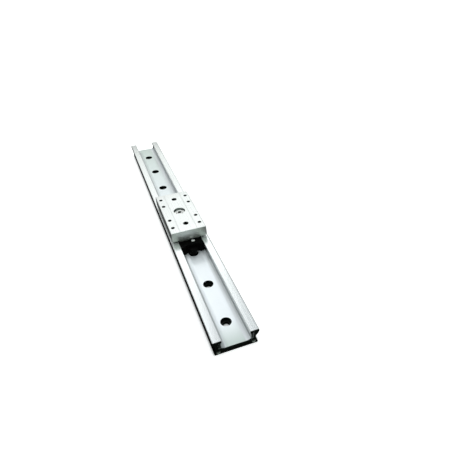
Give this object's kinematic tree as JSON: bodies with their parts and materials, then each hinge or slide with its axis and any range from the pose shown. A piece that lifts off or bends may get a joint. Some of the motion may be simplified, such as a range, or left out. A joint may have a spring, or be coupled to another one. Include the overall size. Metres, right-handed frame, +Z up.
{
  "type": "linear guide carriage on its rail",
  "caption": "Roller linear guide: a carriage with a tapped mounting plate runs on ball-bearing rollers inside a bolt-down aluminium channel rail with steel raceways.",
  "frame": {"origin": "middle of the rail's underside, on the surface that the rail is bolted to", "axes": "+Y along the rail, away from the carriage's front end; +X across the rail; +Z up, out of the carriage's mounting face"},
  "size_m": [0.0644, 0.652, 0.0456],
  "materials": {
    "anodised_rail": "satin silver anodised extrusion",
    "anodised_plate": "milled and silver anodised",
    "raceway_steel": "hardened and ground",
    "bearing_steel": "hardened and ground",
    "plated_steel": "zinc plated",
    "black_plastic": "moulded, fine texture",
    "cage_plastic": "moulded",
    "seal_rubber": "moulded",
    "oiled_felt": "pressed felt soaked in oil"
  },
  "bodies": {
    "rail": {"rail": "anodised_rail", "raceway_left": "raceway_steel", "raceway_right": "raceway_steel"},
    "carriage": {"carriage_plate": "anodised_plate", "stud_front": "plated_steel", "stud_rear": "plated_steel", "inner_ring_front": "bearing_steel", "inner_ring_rear": "bearing_steel", "spacer_front": "plated_steel", "spacer_rear": "plated_steel", "lock_washer": "plated_steel", "lock_nut": "plated_steel", "wiper_front": "black_plastic", "wiper_screw_front": "plated_steel", "felt_front_left": "oiled_felt", "felt_front_right": "oiled_felt", "wiper_rear": "black_plastic", "wiper_screw_rear": "plated_steel", "felt_rear_left": "oiled_felt", "felt_rear_right": "oiled_felt"},
    "eccentric": {"stud_middle": "plated_steel", "inner_ring_middle": "bearing_steel"},
    "roller_front": {"outer_ring_front": "bearing_steel", "seal_lower_front": "seal_rubber", "seal_upper_front": "seal_rubber"},
    "cage_front": {"ball_cage_front": "cage_plastic"},
    "roller_middle": {"outer_ring_middle": "bearing_steel", "seal_lower_middle": "seal_rubber", "seal_upper_middle": "seal_rubber"},
    "cage_middle": {"ball_cage_middle": "cage_plastic"},
    "roller_rear": {"outer_ring_rear": "bearing_steel", "seal_lower_rear": "seal_rubber", "seal_upper_rear": "seal_rubber"},
    "cage_rear": {"ball_cage_rear": "cage_plastic"}
  },
  "joints": [
    {"name": "carriage_slide", "type": "slide", "parent": "rail", "child": "carriage", "axis": [0, 1, 0], "range_m": [-0.1916, 0.2816]},
    {"name": "eccentric_adjust", "type": "hinge", "parent": "carriage", "child": "eccentric", "pos_m": [0, -0.045, 0.036], "axis": [0, 0, 1], "range_deg": [0, 90]},
    {"name": "roller_front_spin", "type": "hinge", "parent": "carriage", "child": "roller_front", "pos_m": [0.0006, -0.087, 0.016], "axis": [0, 0, 1], "continuous": true},
    {"name": "cage_front_spin", "type": "hinge", "parent": "carriage", "child": "cage_front", "pos_m": [0.0006, -0.087, 0.016], "axis": [0, 0, 1], "continuous": true},
    {"name": "roller_middle_spin", "type": "hinge", "parent": "eccentric", "child": "roller_middle", "pos_m": [-0.0006, -0.045, 0.016], "axis": [0, 0, 1], "continuous": true},
    {"name": "cage_middle_spin", "type": "hinge", "parent": "eccentric", "child": "cage_middle", "pos_m": [-0.0006, -0.045, 0.016], "axis": [0, 0, 1], "continuous": true},
    {"name": "roller_rear_spin", "type": "hinge", "parent": "carriage", "child": "roller_rear", "pos_m": [0.0006, -0.003, 0.016], "axis": [0, 0, 1], "continuous": true},
    {"name": "cage_rear_spin", "type": "hinge", "parent": "carriage", "child": "cage_rear", "pos_m": [0.0006, -0.003, 0.016], "axis": [0, 0, 1], "continuous": true}
  ],
  "couplings": [
    {"joint": "roller_front_spin", "follows": "carriage_slide", "rad_per_m": -50},
    {"joint": "cage_front_spin", "follows": "carriage_slide", "rad_per_m": -30.217},
    {"joint": "roller_middle_spin", "follows": "carriage_slide", "rad_per_m": 50},
    {"joint": "cage_middle_spin", "follows": "carriage_slide", "rad_per_m": 30.217},
    {"joint": "roller_rear_spin", "follows": "carriage_slide", "rad_per_m": -50},
    {"joint": "cage_rear_spin", "follows": "carriage_slide", "rad_per_m": -30.217}
  ]
}
